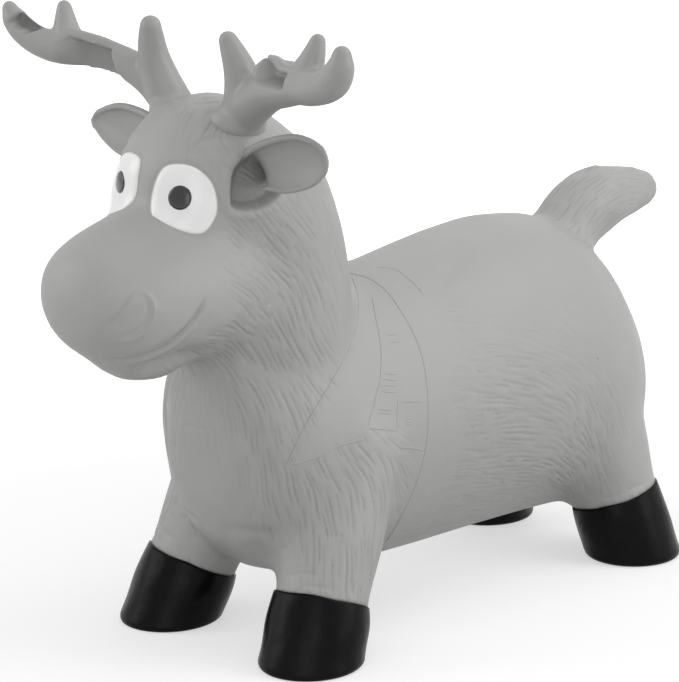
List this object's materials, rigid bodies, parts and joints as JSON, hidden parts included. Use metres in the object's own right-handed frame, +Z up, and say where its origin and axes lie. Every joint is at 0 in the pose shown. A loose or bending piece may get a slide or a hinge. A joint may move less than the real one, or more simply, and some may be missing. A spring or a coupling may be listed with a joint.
{
  "type": "inflatable ride-on animal",
  "caption": "Inflatable ride-on reindeer: a hollow soft body on stub legs with hoof caps, branched antlers to hold on by, ears, eyes and a plugged air valve under the belly.",
  "frame": {"origin": "centre of the bounding box's footprint, on the floor that the hooves stand on", "axes": "+Z up, -Y is where the head looks, +X is the animal's left side"},
  "size_m": [0.3769, 0.6715, 0.4911],
  "materials": {
    "grey_vinyl": "satin grey PVC with shallow moulded fur",
    "antler_vinyl": "satin grey PVC, smooth",
    "black_vinyl": "glossy black",
    "white_vinyl": "satin white",
    "pupil_vinyl": "glossy black",
    "valve_vinyl": "satin pale grey"
  },
  "bodies": {
    "hopper": {"body_skin": "grey_vinyl", "ear_left": "grey_vinyl", "ear_right": "grey_vinyl", "antler_left": "antler_vinyl", "antler_right": "antler_vinyl", "hoof_front_left": "black_vinyl", "hoof_front_right": "black_vinyl", "hoof_hind_left": "black_vinyl", "hoof_hind_right": "black_vinyl", "eye_white_left": "white_vinyl", "eye_white_right": "white_vinyl", "pupil_left": "pupil_vinyl", "pupil_right": "pupil_vinyl", "valve_seat": "valve_vinyl"},
    "plug": {"valve_plug": "valve_vinyl"}
  },
  "joints": [
    {"name": "plug_pull", "type": "slide", "parent": "hopper", "child": "plug", "axis": [0, 0, -1], "range_m": [0, 0.012]}
  ]
}
